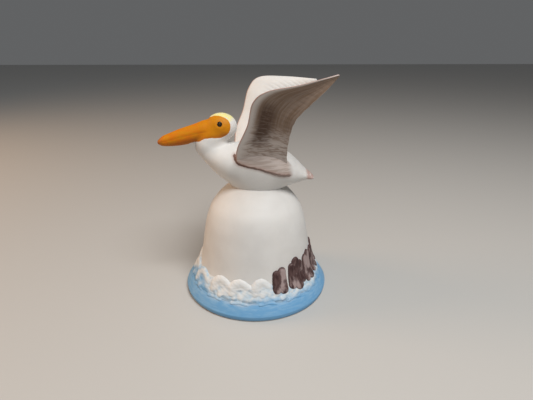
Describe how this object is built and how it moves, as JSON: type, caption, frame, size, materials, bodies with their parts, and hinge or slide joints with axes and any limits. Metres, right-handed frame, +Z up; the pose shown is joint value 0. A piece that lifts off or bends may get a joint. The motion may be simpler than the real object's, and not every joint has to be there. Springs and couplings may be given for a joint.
{
  "type": "hand bell",
  "caption": "Small porcelain hand bell with a flared foot, a raised wave and mooring-pile band, a pelican handle with raised wings, and a bead clapper hung on wire.",
  "frame": {"origin": "on the table the bell stands on, under the middle of its overall length and width; the bell's own axis is 3.45 mm towards +X", "axes": "+Z up, -X the way the bill points, -Y the pelican's left side"},
  "size_m": [0.062, 0.055, 0.081],
  "materials": {
    "painted_bisque": "matt bisque porcelain, white above a hand-painted sky-blue foot",
    "foam_bisque": "matt bisque porcelain, white foam washed with pale blue",
    "piling_bisque": "matt bisque porcelain, brushed dark purple-brown with paler streaks",
    "pelican_bisque": "matt bisque porcelain, white, with an orange bill and face and a black eye",
    "wing_bisque": "matt bisque porcelain, white above and brushed purple-brown below",
    "plaster": "rough cast plaster",
    "steel_wire": "drawn steel wire",
    "bead_porcelain": "smooth unglazed porcelain"
  },
  "bodies": {
    "bell": {"bell_shell": "painted_bisque", "wave_relief": "foam_bisque", "piling_cluster_1": "piling_bisque", "piling_cluster_2": "piling_bisque", "piling_cluster_3": "piling_bisque", "piling_cluster_4": "piling_bisque", "piling_cluster_5": "piling_bisque", "pelican_body": "pelican_bisque", "left_wing": "wing_bisque", "right_wing": "wing_bisque", "hanger_plug": "plaster", "hanger_staple": "steel_wire"},
    "ring": {"hanger_ring": "steel_wire"},
    "clapper": {"clapper_rod": "steel_wire"},
    "bead": {"clapper_bead": "bead_porcelain"}
  },
  "joints": [
    {"name": "ring_swing", "type": "hinge", "parent": "bell", "child": "ring", "pos_m": [0.00345, 0, 0.0374], "axis": [0.7071, 0.7071, 0], "range_deg": [-22, 22]},
    {"name": "clapper_swing", "type": "hinge", "parent": "ring", "child": "clapper", "pos_m": [0.00345, 0, 0.03497], "axis": [-0.7071, 0.7071, 0], "range_deg": [-22, 22]},
    {"name": "bead_spin", "type": "hinge", "parent": "clapper", "child": "bead", "pos_m": [0.00345, 0, 0.0095], "axis": [0, 0, 1], "continuous": true}
  ]
}
